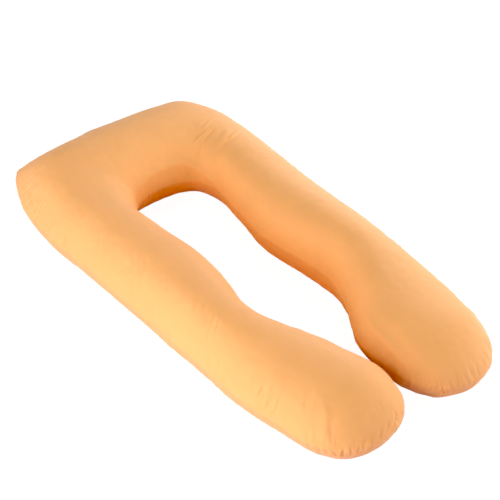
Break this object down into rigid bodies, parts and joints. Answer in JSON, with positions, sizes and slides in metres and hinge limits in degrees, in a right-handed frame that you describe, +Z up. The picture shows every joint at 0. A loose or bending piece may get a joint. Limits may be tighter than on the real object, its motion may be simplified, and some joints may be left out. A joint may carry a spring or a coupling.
{
  "type": "pregnancy pillow",
  "caption": "U-shaped full-body pregnancy pillow: a thick filled head end with two long arms that close towards each other.",
  "frame": {"origin": "on the surface it lies on, under the middle of the pillow's box", "axes": "+Y from the arm ends towards the head end, +X across the arms, +Z up"},
  "size_m": [0.724, 1.4018, 0.2063],
  "materials": {
    "cover_fabric": "soft smooth weave with a faint sheen"
  },
  "bodies": {
    "root": {"pillow": "cover_fabric"}
  },
  "joints": []
}
